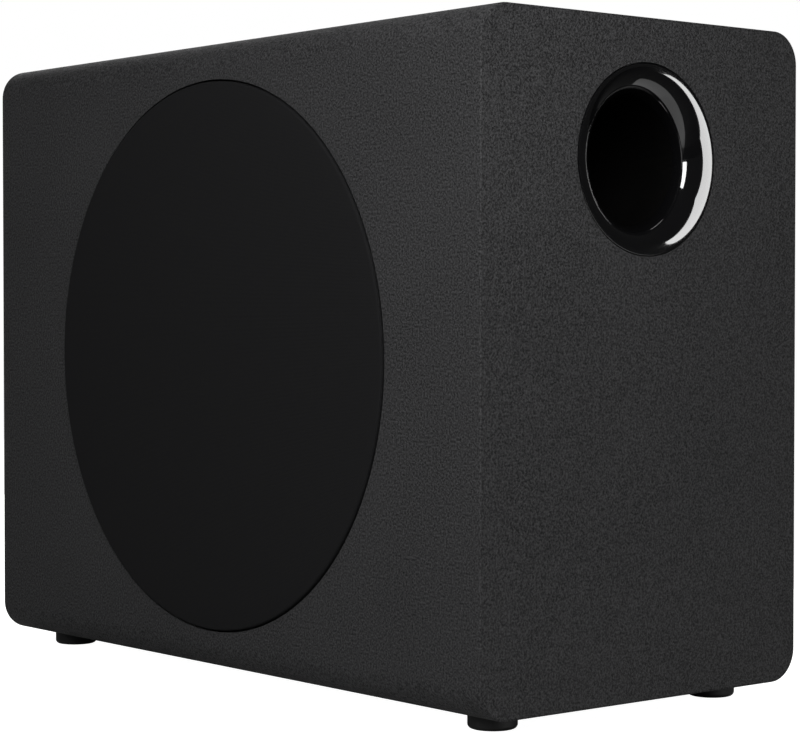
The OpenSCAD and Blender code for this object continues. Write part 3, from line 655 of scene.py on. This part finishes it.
def rectangle(bm, width, height, radius):
    """Adds the edges of a rectangle with round corners in the XY plane."""
    bmesh.ops.create_grid(bm, x_segments=1, y_segments=1, size=0.5)
    face = bm.faces[:][-1]
    corners = face.verts[:]
    bmesh.ops.scale(bm, vec=(width, height, 1), verts=corners)
    bmesh.ops.bevel(bm, geom=corners, affect="VERTICES", offset=radius, segments=16,
                    profile=0.5, material=-1)
    bmesh.ops.delete(bm, geom=bm.faces[:], context="FACES_ONLY")


def thicken(bm, rise):
    """Extrudes every face along Z, and keeps the faces it starts from."""
    made = bmesh.ops.extrude_face_region(bm, geom=bm.faces[:], use_keep_orig=True)
    moved = [v for v in made["geom"] if isinstance(v, bmesh.types.BMVert)]
    bmesh.ops.translate(bm, vec=(0, 0, rise), verts=moved)


def piece(name, bm, place, node, finish=None, smooth=38, even=True, rides=True):
    """Places a bmesh, shades it, and hands it to the frame in place of a node."""
    bm.transform(place)
    for face in bm.faces:
        face.smooth = True
    for edge in bm.edges:
        edge.smooth = len(edge.link_faces) == 2 and edge.calc_face_angle() < math.radians(smooth)
    made = added(name, mesh_of(bm, name))
    slot = SLOTS[node]
    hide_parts(node)
    made.data.materials.append(finish or FINISHES[slot])
    if even:
        even_shading(made)
    if rides:
        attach(made, frame["nodes"][node]["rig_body"])
    return made


def paint(made, finish, test):
    """Gives a second finish to the faces whose centre, in millimetres, passes a test."""
    made.data.materials.append(finish)
    for polygon in made.data.polygons:
        if test(polygon.center / MM):
            polygon.material_index = len(made.data.materials) - 1


# ---- Cabinet

def vinyl_sleeve():
    """The wrap round the four long faces, folded over both ends with a small round."""
    bm = bmesh.new()
    rectangle(bm, DEPTH, HEIGHT, EDGE_R)
    bmesh.ops.contextual_create(bm, geom=bm.edges[:])
    thicken(bm, LENGTH)
    bmesh.ops.translate(bm, vec=(0, 0, -LENGTH / 2), verts=bm.verts)
    bmesh.ops.rotate(bm, verts=bm.verts, matrix=Matrix(((0, 0, 1), (1, 0, 0), (0, 1, 0))))
    bmesh.ops.translate(bm, vec=(0, 0, MID_Z), verts=bm.verts)
    bmesh.ops.recalc_face_normals(bm, faces=bm.faces)
    ends = [f for f in bm.faces if abs(f.normal.x) > 0.9]
    rims = list({e for f in ends for e in f.edges})
    bmesh.ops.bevel(bm, geom=rims, offset=END_ROUND, segments=6, profile=0.5, affect="EDGES",
                    material=-1)
    ends = [f for f in bm.faces if abs(f.normal.x) > 0.999]
    bmesh.ops.delete(bm, geom=ends, context="FACES")
    front = max((f for f in bm.faces if f.normal.y < -0.9), key=lambda f: f.calc_area())
    edges = front.edges[:]
    bmesh.ops.delete(bm, geom=[front], context="FACES_ONLY")
    ring = bmesh.ops.create_circle(
        bm, radius=RECESS_R, segments=160,
        matrix=Matrix.Translation((0, -DEPTH / 2, MID_Z)) @ Matrix.Rotation(math.pi / 2, 4, "X"))
    edges += list({e for v in ring["verts"] for e in v.link_edges})
    bmesh.ops.triangle_fill(bm, use_beauty=True, edges=edges, normal=(0, -1, 0))
    bmesh.ops.recalc_face_normals(bm, faces=bm.faces)
    made = piece("vinyl_sleeve", bm, UPRIGHT, node="wrap_sleeve", even=False)
    wall = made.modifiers.new("film", "SOLIDIFY")
    wall.thickness = VINYL_T * MM
    wall.offset = -1
    wall.use_even_offset = True
    even_shading(made)


def end_skin(bm, name, place, node):
    """A flat panel of film round an opening, which butts against the sleeve's folded edge."""
    inset = END_ROUND + SEAM
    rectangle(bm, HEIGHT - 2 * inset, DEPTH - 2 * inset, EDGE_R - inset)
    bmesh.ops.triangle_fill(bm, use_beauty=True, edges=bm.edges[:], normal=(0, 0, 1))
    thicken(bm, -VINYL_T)
    bmesh.ops.recalc_face_normals(bm, faces=bm.faces)
    piece(name, soften(bm, 0.08), place, node)


def port_end_skin():
    bm = bmesh.new()
    bmesh.ops.create_circle(
        bm, radius=PORT_HOLE_R, segments=128, matrix=Matrix.Translation((MID_Z - PORT_Z, 0, 0)))
    end_skin(bm, "port_end_film", ON_PORT_END, "port_end_skin")


def amp_end_skin():
    bm = bmesh.new()
    rectangle(bm, *AMP_CUTOUT)
    end_skin(bm, "amp_end_film", ON_AMP, "amp_end_skin")


def cabinet():
    vinyl_sleeve()
    port_end_skin()
    amp_end_skin()
    for node in ("front_baffle", "back_panel", "top_panel", "bottom_panel", "port_end_panel",
                 "amp_end_panel"):
        piece(node + "_board", from_cad(node, 0.3), UPRIGHT, node=node)
    for corner in ("top_front", "top_back", "low_front", "low_back"):
        node = "glue_block_" + corner
        piece("batten_" + corner, from_cad(node, 0.8, 3), UPRIGHT, node=node)


def damping_pad():
    """Wadding stapled to the back: a slab with tucked edges and a lumpy face."""
    tuck_from, tuck_depth, fullness, gather = 0.86, 0.42, 0.93, 0.985
    low, high = (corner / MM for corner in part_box("damping_pad"))
    size, middle = high - low, (low + high) / 2
    bm = bmesh.new()
    bmesh.ops.create_cube(bm, size=1)
    bmesh.ops.scale(bm, vec=size, verts=bm.verts)
    long_edges = [e for e in bm.edges if e.calc_length() > size.y + 1]
    bmesh.ops.subdivide_edges(bm, edges=long_edges, cuts=40, use_grid_fill=True)
    bmesh.ops.subdivide_edges(
        bm, edges=[e for e in bm.edges if abs(e.verts[0].co.y - e.verts[1].co.y) > 1], cuts=3)
    for vert in bm.verts:
        reach = max(abs(vert.co.x) * 2 / size.x, abs(vert.co.z) * 2 / size.z)
        tuck = 1 - tuck_depth * max(0, (reach - tuck_from) / (1 - tuck_from)) ** 2
        lump = noise.noise(vert.co * 0.045) * 1.6 + noise.noise(vert.co * 0.16) * 0.7
        from_back = size.y / 2 - vert.co.y
        vert.co.y = size.y / 2 - from_back * tuck * (fullness + lump * 0.03)
        vert.co.x *= gather
        vert.co.z *= gather
    bmesh.ops.smooth_vert(bm, verts=bm.verts, factor=0.5, use_axis_x=True, use_axis_y=True,
                          use_axis_z=True)
    bmesh.ops.translate(bm, vec=middle, verts=bm.verts)
    pad = piece("damping_wadding", bm, UPRIGHT, node="damping_pad", smooth=80, even=False)


def feet():
    """Rubber feet with a round lower edge and a well for the screw."""
    radius, round_r, bore_r, well_r, well_h = 9.5, 1.75, 2.2, 4.4, 3.2
    outline = [(well_r, 0, 0.3)]
    outline += arc(radius - round_r, round_r, round_r, -90, 0, 8)
    outline += [(radius, FOOT_H, 0.15), (bore_r, FOOT_H), (bore_r, well_h), (well_r, well_h)]
    for corner in ("port_front", "port_back", "amp_front", "amp_back"):
        low, high = (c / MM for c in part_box("foot_" + corner))
        bm = turned(outline, 72)
        bmesh.ops.translate(bm, vec=((low.x + high.x) / 2, (low.y + high.y) / 2, 0), verts=bm.verts)
        piece("rubber_foot_" + corner, bm, UPRIGHT, node="foot_" + corner)
    piece("foot_fixing_screws", from_cad("foot_screws", 0.2), UPRIGHT, node="foot_screws")


# ---- Grille

CLOTH_R = 113.2
CLOTH_FRONT = 14
CLOTH_BACK = 5.2
CLOTH_T = 0.5


def grille():
    round_r = 1
    sag = 0.3
    held_r = 101
    front = [(r, CLOTH_FRONT - sag * (1 - (r / held_r) ** 2)) for r in range(0, held_r, 10)]
    rim = arc(CLOTH_R - round_r, CLOTH_FRONT - round_r, round_r, 90, 0, 8)
    back = [(CLOTH_R, CLOTH_BACK), (CLOTH_R - CLOTH_T, CLOTH_BACK)]
    back += arc(CLOTH_R - round_r, CLOTH_FRONT - round_r, round_r - CLOTH_T, 0, 90, 6)
    back += [(r, z - CLOTH_T) for r, z in reversed(front)]
    bm = turned(front + [(held_r, CLOTH_FRONT)] + rim + back, 192)
    cloth = piece("speaker_cloth_cover", bm, ON_DRIVER, node="grille_cloth", even=False)
    piece("grille_ring", from_cad("grille_frame", 0.25), UPRIGHT, node="grille_frame")
    piece("rubber_sockets", from_cad("grille_sockets", 0.25), UPRIGHT, node="grille_sockets")


# ---- Driver

FLANGE_TOP = 2.5
FORMER_R = 19
NECK_Z = -27
CONE_TOP_R = 71.6
CONE_RIM_R = 77.6
ROLL_IN_R = 78
ROLL_OUT_R = 91
LEDGE_Z = -32
PAPER_T = 0.8


def cone_front(radius):
    """Height of the cone's front surface, with three pressed stiffening rings."""
    height = NECK_Z + (radius - FORMER_R) * (FLANGE_TOP - NECK_Z) / (CONE_TOP_R - FORMER_R)
    ring_h, ring_half_w = 0.55, 2
    for ring_r in (38, 50, 62):
        near = max(0, 1 - abs(radius - ring_r) / ring_half_w)
        height += ring_h * near ** 2 * (3 - 2 * near)
    return height


def cone():
    steps = 105
    radii = [FORMER_R + (CONE_TOP_R - FORMER_R) * i / steps for i in range(steps + 1)]
    front = [(r, cone_front(r)) for r in radii]
    outline = front + [(CONE_RIM_R, FLANGE_TOP), (CONE_RIM_R, FLANGE_TOP - PAPER_T)]
    outline += [(r, z - PAPER_T) for r, z in reversed(front)]
    piece("paper_cone", turned(outline, 128), ON_DRIVER, node="cone", even=False)


def dust_cap():
    base_r, rise = 28, 9
    dome_r = (base_r ** 2 + rise ** 2) / (2 * rise)
    base_z = cone_front(base_r)
    middle = base_z + rise - dome_r
    tilt = math.degrees(math.asin(base_r / dome_r))
    outline = arc(0, middle, dome_r, 90, 90 - tilt, 16)
    outline += arc(0, middle, dome_r - PAPER_T, 90 - tilt, 90, 16)
    outline[0] = (0, middle + dome_r)
    outline[-1] = (0, middle + dome_r - PAPER_T)
    piece("paper_dust_cap", turned(outline, 96), ON_DRIVER, node="dust_cap", even=False)


def sectors(name, outline, count, steps, node):
    """A ring in equal sectors, each baked in place and attached to no body."""
    sweep = 360 / count
    for i in range(count):
        bm = turned(outline, steps, sweep, i * sweep)
        made = piece(f"{name}_{i + 1:02d}", bm, ON_DRIVER, node=node, even=False, rides=False)
        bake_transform(made)


def surround():
    skin, roll_h, lip_w, rim_w, flat_w, crease = 0.7, 5, 4.5, 6, 0.5, 0.4
    half = (ROLL_OUT_R - ROLL_IN_R) / 2
    arc_r = (half ** 2 + roll_h ** 2) / (2 * roll_h)
    middle_r = ROLL_IN_R + half
    middle_z = FLANGE_TOP + roll_h - arc_r
    lean = math.degrees(math.asin((FLANGE_TOP + skin + crease - middle_z) / arc_r))
    under = math.degrees(math.asin((FLANGE_TOP - middle_z) / (arc_r - skin)))
    outline = [(ROLL_IN_R - rim_w, FLANGE_TOP), (ROLL_IN_R - rim_w, FLANGE_TOP + skin)]
    outline += [(ROLL_IN_R - flat_w, FLANGE_TOP + skin)]
    outline += arc(middle_r, middle_z, arc_r, 180 - lean, lean, 20)
    outline += [(ROLL_OUT_R + flat_w, FLANGE_TOP + skin), (ROLL_OUT_R + lip_w, FLANGE_TOP + skin)]
    outline += [(ROLL_OUT_R + lip_w, FLANGE_TOP)]
    outline += arc(middle_r, middle_z, arc_r - skin, under, 180 - under, 20)
    count = 24
    sectors("surround", outline, count, 8, "surround")


def spider():
    thickness, wave_h, waves, steps_a_wave, first_r, last_r = 0.5, 1.3, 6, 8, 19.05, 50
    glue_r, glue_h = 54.5, 1.8
    steps = waves * steps_a_wave
    radii = [first_r + (last_r - first_r) * i / steps for i in range(steps + 1)]
    upper = [(r, LEDGE_Z + wave_h * (1 + math.sin(2 * math.pi * i / steps_a_wave)) + thickness)
             for i, r in enumerate(radii)]
    lower = [(r, z - thickness) for r, z in reversed(upper)]
    outline = upper + [(glue_r, LEDGE_Z + glue_h), (glue_r, LEDGE_Z), (last_r, LEDGE_Z)] + lower
    sectors("spider", outline, 36, 4, "spider")


def coil():
    """One layer of round wire on a foil tube."""
    wire_r, turns, former_t = 0.45, 15, 0.4
    low, high = (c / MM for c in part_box("voice_coil"))
    length = high.y - low.y
    base = SEAT_Y - high.y
    pitch = length / turns
    outline = [(FORMER_R, base), (FORMER_R + wire_r, base)]
    for i in range(turns):
        outline += arc(FORMER_R + wire_r, base + (i + 0.5) * pitch, wire_r, -80, 80, 4)
    outline += [(FORMER_R + wire_r, base + length), (FORMER_R, base + length)]
    piece("wound_voice_coil", turned(outline, 72), ON_DRIVER, node="voice_coil", even=False)
    low, high = (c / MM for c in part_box("coil_former"))
    tube = [(FORMER_R - former_t, SEAT_Y - high.y), (FORMER_R, SEAT_Y - high.y),
            (FORMER_R, SEAT_Y - low.y), (FORMER_R - former_t, SEAT_Y - low.y)]
    piece("foil_tube", turned(tube, 96), ON_DRIVER, node="coil_former", even=False)


def motor():
    for node, name, width in (("magnet", "ferrite_ring", 1.2), ("top_plate", "steel_top_plate", 0.4),
                              ("yoke", "steel_yoke", 0.6)):
        piece(name, from_cad(node, width, 3), UPRIGHT, node=node)


def tube_along(points, radius, place, sides=3):
    """A round lead that follows its points smoothly, as a bmesh in metres."""
    curve = bpy.data.curves.new("route", "CURVE")
    curve.dimensions = "3D"
    curve.bevel_depth = radius * MM
    curve.bevel_resolution = sides
    curve.use_fill_caps = True
    curve.resolution_u = 6
    spline = curve.splines.new("BEZIER")
    spline.bezier_points.add(len(points) - 1)
    for knot, point in zip(spline.bezier_points, points):
        knot.co = place @ Vector(point)
        knot.handle_left_type = "AUTO"
        knot.handle_right_type = "AUTO"
    route = added("route", curve)
    bpy.context.view_layer.update()
    mesh = bpy.data.meshes.new_from_object(
        route.evaluated_get(bpy.context.evaluated_depsgraph_get()))
    bm = bmesh.new()
    bm.from_mesh(mesh)
    bmesh.ops.remove_doubles(bm, verts=bm.verts, dist=1e-6)
    bmesh.ops.recalc_face_normals(bm, faces=bm.faces)
    bpy.data.objects.remove(route)
    bpy.data.curves.remove(curve)
    bpy.data.meshes.remove(mesh)
    return bm


def both_sides(points, radius, place):
    """The same lead on both sides of its frame's XZ plane, as one bmesh."""
    bm = bmesh.new()
    for side in (-1, 1):
        mesh = mesh_of(tube_along([(x, side * y, z) for x, y, z in points], radius, place), "lead")
        bm.from_mesh(mesh)
        bpy.data.meshes.remove(mesh)
    return bm


def leads():
    tinsel = [
        (-63.5, 4.5, -29.6), (-63.5, 4.5, -27.6), (-62.4, 4.5, -25.6), (-60, 4.5, -24.2),
        (-56, 4.5, -23.2), (-51, 4.5, -22.6), (-46.5, 4.5, -21.6), (-43, 4.5, -19.8),
        (-40.9, 4.5, -17.9), (-39.9, 4.5, -16.1)]
    in_place = Matrix.Identity(4)
    made = piece("braided_tinsel_leads", both_sides(tinsel, 0.6, ON_DRIVER), in_place,
                 node="tinsel_leads", finish=BRAID, even=False, rides=False)
    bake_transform(made)
    lead = [
        (-141.9, -34, 159), (-136, -34, 159), (-129, -34.4, 157.4), (-121, -35.2, 153.6),
        (-113, -36.4, 148.6), (-105, -38, 143.6), (-97, -39.6, 139.8), (-89, -40.8, 137.6),
        (-81, -41, 137), (-74, -41, 137)]
    piece("speaker_lead_run", tube_along(lead, 1.8, UPRIGHT, 5), in_place, node="speaker_lead",
          even=False)
    wire = [
        (-62, 4.3, -28), (-62, 4.3, -30), (-61, 4.2, -32.9), (-58, 4, -35.1), (-53, 3.8, -36.3),
        (-46, 3.5, -36.7), (-38, 3.2, -36.7), (-30, 2.9, -36.5), (-23, 2.6, -35.9),
        (-17, 2.5, -33.9), (-14, 2.5, -30.7), (-14, 2.5, -28.5), (-14, 2.5, -26.6)]
    piece("mains_wire_pair", both_sides(wire, 0.9, ON_AMP), in_place, node="mains_wires", even=False)


def driver():
    piece("foam_gasket", from_cad("driver_gasket", 0.15), UPRIGHT, node="driver_gasket")
    piece("pressed_basket", from_cad("basket", 0.3), UPRIGHT, node="basket")
    piece("flange_screws", from_cad("driver_screws", 0.25, 3), UPRIGHT, node="driver_screws")
    piece("surround_edge_ring", from_cad("edge_ring", 0.3, 3), UPRIGHT, node="edge_ring")
    strip = piece("lead_terminals", from_cad("terminal_strip", 0.15), UPRIGHT,
                  node="terminal_strip")
    strip_t = 1.6
    paint(strip, TINNED, lambda c: SEAT_Y - c.y > LEDGE_Z + strip_t - 0.1)
    surround()
    spider()
    cone()
    dust_cap()
    coil()
    motor()
    leads()


# ---- Port

THROAT_R = 25
TUBE_T = 2
FLARE_DEPTH = 11.3
TUBE_END = -145
SOCKET_DEPTH = 10


def port():
    """A quarter-round flare with a rolled lip, a card tube and a small inner flare."""
    mouth_r, lip_r, lip_in = 36.6, 0.6, 0.3
    reach = mouth_r - lip_in - THROAT_R
    flare_r = (reach ** 2 + FLARE_DEPTH ** 2) / (2 * reach)
    opening = math.degrees(math.asin(FLARE_DEPTH / flare_r))
    barrel_r, socket_r, collar_z = THROAT_R + 2 * TUBE_T + 1, THROAT_R + TUBE_T, -3
    socket_z = -FLARE_DEPTH - SOCKET_DEPTH
    outline = arc(THROAT_R + flare_r, -FLARE_DEPTH, flare_r, 180, 180 - opening, 48)
    outline += arc(mouth_r - lip_r, -lip_r, lip_r, 80, 0, 8)
    outline += [(mouth_r, collar_z, 0.3), (barrel_r, collar_z), (barrel_r, socket_z, 0.4),
                (socket_r, socket_z, 0.3), (socket_r, -FLARE_DEPTH)]
    piece("port_flare", turned(outline, 192), ON_PORT, node="port_trim", even=False)
    tube_out_r = socket_r - 0.05
    tube = [(THROAT_R, -FLARE_DEPTH), (THROAT_R, TUBE_END), (tube_out_r, TUBE_END),
            (tube_out_r, -FLARE_DEPTH)]
    piece("port_card_tube", turned(tube, 128), ON_PORT, node="port_tube", even=False)
    tail_reach, wall_r = 5, THROAT_R + 2 * TUBE_T
    tail = arc(THROAT_R + tail_reach, TUBE_END, tail_reach, 180, 270, 14)
    tail += [(THROAT_R + tail_reach, TUBE_END), (wall_r, TUBE_END),
             (wall_r, TUBE_END + SOCKET_DEPTH, 0.4), (socket_r, TUBE_END + SOCKET_DEPTH, 0.3),
             (socket_r, TUBE_END)]
    piece("port_inner_flare", turned(tail, 128), ON_PORT, node="port_tail", even=False)


# ---- Amplifier

AMP_PIECES = (
    ("amp_plate", "amplifier_plate", 0.25), ("amp_gasket", "amplifier_gasket", 0.15),
    ("amp_screws", "plate_screws", 0.25), ("inlet_shell", "mains_inlet_body", 0.3),
    ("inlet_pins", "mains_inlet_pins", 0.15), ("switch_shell", "switch_bezel", 0.3),
    ("power_rocker", "rocker_cap", 0.45), ("pair_button", "pairing_button", 0.25),
    ("status_lens", "status_light_pipe", 0.15), ("standoffs", "board_spacers", 0.2),
    ("transformer", "switching_transformer", 0.35), ("capacitors", "reservoir_capacitors", 0.6),
    ("output_coils", "filter_coils", 0.8), ("heatsink", "finned_heatsink", 0.2),
    ("pair_switch", "tact_switch", 0.2), ("antenna", "stub_antenna", 0.5),
)


def amplifier():
    for node, name, width in AMP_PIECES:
        piece(name, from_cad(node, width, 3 if width > 0.3 else 2), UPRIGHT, node=node)
    outer_face = BOARD_IN - LENGTH / 2
    board = piece("amplifier_board", from_cad("amp_board", 0.15), UPRIGHT, node="amp_board")
    paint(board, IVORY, lambda c: c.x > outer_face + BOARD_T + 0.2)
    radio = piece("radio_board", from_cad("wireless_board", 0.12), UPRIGHT, node="wireless_board")
    paint(radio, TINNED, lambda c: c.x > outer_face + RADIO_T + 0.1)


# ---- Studio

AMBIENT = 0.09
MIRRORED = 0.02
FLOOR_SEEN = 1.0
KEY_GLOW = 6.5
STRIP_GLOW = 13
WASH_GLOW = 10
SIDE_GLOW = 15
SHEET_REACH = 0.36


def soft_box(name, azimuth, distance, low, high, width, glow, mirrored=True, shed=True):
    """An upright lamp that faces the port's mouth, from one height to another, in metres.

    Its azimuth is measured from +X towards +Y, and its glow is its radiance. It may show in
    glossy surfaces, shed light on matte ones, or both.
    """
    light = bpy.data.lights.new(name, "AREA")
    light.shape = "RECTANGLE"
    light.size = width
    light.size_y = high - low
    light.energy = glow * math.pi * width * (high - low)
    lamp = added(name, light)
    turn = math.radians(azimuth)
    away = Vector((math.cos(turn), math.sin(turn), 0))
    lamp.location = Vector((LENGTH / 2 * MM, 0, (low + high) / 2)) + away * distance
    lamp.rotation_euler = (-away).to_track_quat("-Z", "Y").to_euler()
    lamp.visible_camera = False
    lamp.visible_glossy = mirrored
    lamp.visible_diffuse = shed


def studio():
    """A pale floor and surround that light the object less than they show, and soft boxes."""
    scene = bpy.context.scene
    scene.view_settings.view_transform = "Standard"
    world = bpy.data.worlds.new("studio")
    world.use_nodes = True
    scene.world = world
    tree = world.node_tree
    seen = Wire(tree).node("ShaderNodeLightPath", output=0)
    mirrored = Wire(tree).node("ShaderNodeLightPath", output=3)
    level = seen * (1.0 - AMBIENT) + mirrored * (MIRRORED - AMBIENT) + AMBIENT
    background = tree.nodes["Background"]
    background.inputs["Color"].default_value = (1, 1, 1, 1)
    tree.links.new(level.socket, background.inputs["Strength"])

    bm = bmesh.new()
    bmesh.ops.create_grid(bm, x_segments=1, y_segments=1, size=6)
    floor = added("studio_floor", mesh_of(bm, "studio_floor"))
    paper = Finish("white_paper", (0.4, 0.4, 0.4), 0.9, Specular_IOR_Level=0.0, Emission_Strength=1)
    near = (paper.x < SHEET_REACH) * (paper.y < SHEET_REACH)
    paper.feed("Base Color", paper.blend(near, (0.03, 0.03, 0.03), (0.45, 0.45, 0.45)))
    lit = paper.node("ShaderNodeLightPath", output=0)
    paper.feed("Emission Color", paper.blend(lit, (0, 0, 0), (FLOOR_SEEN,) * 3))
    floor.data.materials.append(paper.material)

    soft_box("key_box", 20, 1.2, 0.0, 0.82, 0.92, KEY_GLOW, shed=False)
    soft_box("strip_box", -79, 0.7, 0.24, 0.8, 0.27, STRIP_GLOW)
    soft_box("wash_box", -37, 0.42, 0.25, 0.65, 0.3, WASH_GLOW, mirrored=False)
    soft_box("amp_box", 163, 2.0, 0.1, 1.1, 0.8, SIDE_GLOW)
    soft_box("rear_box", 105, 1.8, 0.1, 1.0, 0.8, SIDE_GLOW, mirrored=False)


def camera():
    """A long lens at the height of the port, off the corner between the port and the grille."""
    data = bpy.data.cameras.new("camera")
    data.lens = 106.69
    data.sensor_width = 36
    data.clip_end = 30
    view = added("camera", data)
    turn, dip = math.radians(140.435), math.radians(-1.474)
    view.location = (0.80562, -0.64882, 0.15759)
    aim = Vector((math.cos(turn) * math.cos(dip), math.sin(turn) * math.cos(dip), math.sin(dip)))
    view.rotation_euler = aim.to_track_quat("-Z", "Y").to_euler()
    bpy.context.scene.camera = view


camera()
cabinet()
damping_pad()
feet()
grille()
driver()
port()
amplifier()
studio()
